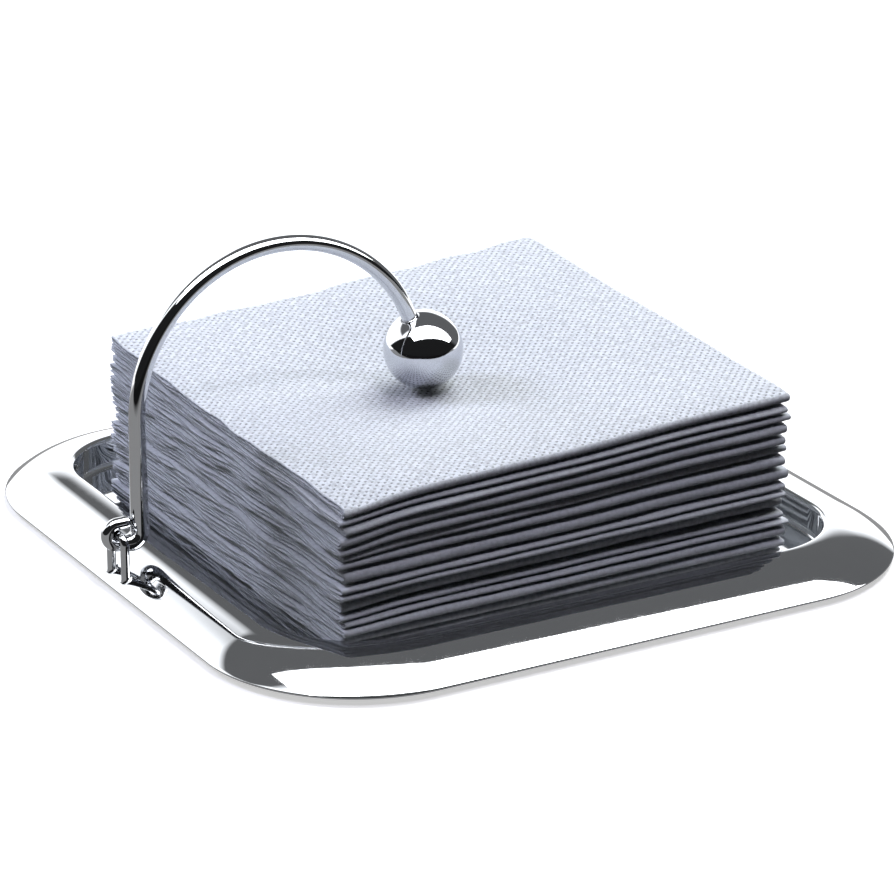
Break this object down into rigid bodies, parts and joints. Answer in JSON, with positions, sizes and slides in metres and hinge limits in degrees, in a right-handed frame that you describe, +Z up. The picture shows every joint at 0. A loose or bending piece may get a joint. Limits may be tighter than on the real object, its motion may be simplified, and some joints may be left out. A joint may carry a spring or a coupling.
{
  "type": "napkin dispenser",
  "caption": "Square polished-steel napkin tray with a rolled rim, a stack of folded paper napkins and a hinged curved arm whose ball weight holds the stack down.",
  "frame": {"origin": "middle of the tray's flat underside, which stands on the table", "axes": "+Z up; the arm hinges on the -X side of the rim and reaches towards +X; the napkins' folded edges face -Y"},
  "size_m": [0.2494, 0.2472, 0.1108],
  "materials": {
    "tray_steel": "polished",
    "staple_steel": "polished",
    "rod_steel": "polished",
    "ball_steel": "polished",
    "napkin_paper": "matte"
  },
  "bodies": {
    "dispenser": {"tray": "tray_steel", "hinge_staple": "staple_steel", "napkin_01": "napkin_paper", "napkin_02": "napkin_paper", "napkin_03": "napkin_paper", "napkin_04": "napkin_paper", "napkin_05": "napkin_paper", "napkin_06": "napkin_paper", "napkin_07": "napkin_paper", "napkin_08": "napkin_paper", "napkin_09": "napkin_paper", "napkin_10": "napkin_paper", "napkin_11": "napkin_paper", "napkin_12": "napkin_paper", "napkin_13": "napkin_paper", "napkin_14": "napkin_paper", "napkin_15": "napkin_paper"},
    "arm": {"arm_rod": "rod_steel", "weight_ball": "ball_steel"},
    "top_napkin": {"napkin_16": "napkin_paper"}
  },
  "joints": [
    {"name": "arm_swing", "type": "hinge", "parent": "dispenser", "child": "arm", "pos_m": [-0.1201, 0, 0.01955], "axis": [0, -1, 0], "range_deg": [0, 115]},
    {"name": "top_napkin_pull", "type": "slide", "parent": "dispenser", "child": "top_napkin", "axis": [0, -1, 0], "range_m": [0, 0.17]}
  ]
}
